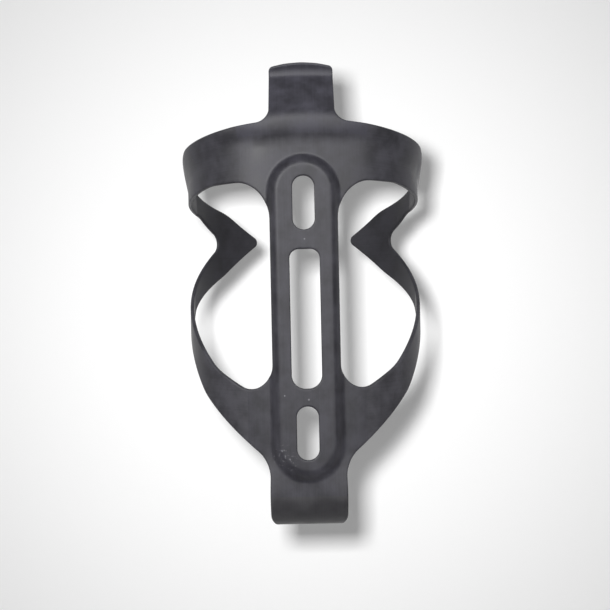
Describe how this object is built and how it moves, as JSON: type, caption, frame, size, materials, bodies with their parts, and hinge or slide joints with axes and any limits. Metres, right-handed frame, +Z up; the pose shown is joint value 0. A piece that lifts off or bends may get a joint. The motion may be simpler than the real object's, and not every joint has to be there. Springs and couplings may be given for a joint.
{
  "type": "water bottle cage",
  "caption": "Moulded carbon-fibre bottle cage with a raised slotted spine, an upper band, two sprung side arms, a retaining hook and a toe under the bottle.",
  "frame": {"origin": "midway between the two frame bosses, on the face of the bolt pad that lies against the bicycle frame", "axes": "+Z up along the spine, towards the hook; +Y from the bicycle frame towards the bottle; +X to the right seen from the bicycle frame"},
  "size_m": [0.0776, 0.0727, 0.134],
  "materials": {
    "carbon": "satin clear lacquer over black unidirectional carbon cloth"
  },
  "bodies": {
    "root": {"spine_plate": "carbon", "top_hook": "carbon", "bottle_toe": "carbon", "upper_band_left": "carbon", "upper_band_right": "carbon", "grip_arm_left": "carbon", "grip_arm_right": "carbon", "lower_cradle_left": "carbon", "lower_cradle_right": "carbon"}
  },
  "joints": []
}
